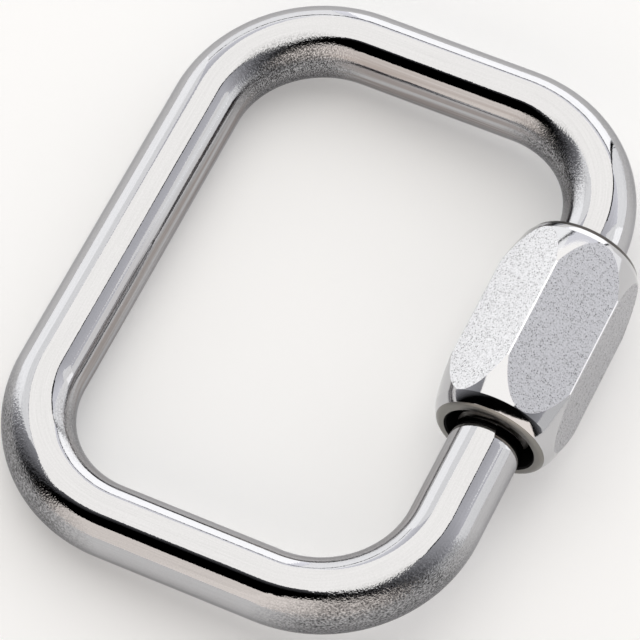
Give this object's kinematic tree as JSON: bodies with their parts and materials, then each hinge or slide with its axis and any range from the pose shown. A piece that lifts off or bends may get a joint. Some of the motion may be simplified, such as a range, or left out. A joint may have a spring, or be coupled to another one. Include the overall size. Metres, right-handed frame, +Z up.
{
  "type": "chain quick link",
  "caption": "Rectangular quick link: a round steel bar bent into a loop, closed by a hexagon sleeve nut that screws across its gate.",
  "frame": {"origin": "on the surface that the link lies on, under the middle of its box", "axes": "+Y along the link's length towards the bend that the closed nut stops at, +X across the link to the nut's side, +Z up from the surface"},
  "size_m": [0.0572, 0.073, 0.0158],
  "materials": {
    "polished_steel": "stainless bar, polished bright, with a fine grain along the bends",
    "satin_steel": "stainless hexagon with satin, finely pitted flats and polished cones"
  },
  "bodies": {
    "link": {"link_bar": "polished_steel"},
    "nut": {"sleeve_nut": "satin_steel"}
  },
  "joints": [
    {"name": "nut_travel", "type": "slide", "parent": "link", "child": "nut", "axis": [0, -1, 0], "range_m": [0, 0.011]}
  ]
}
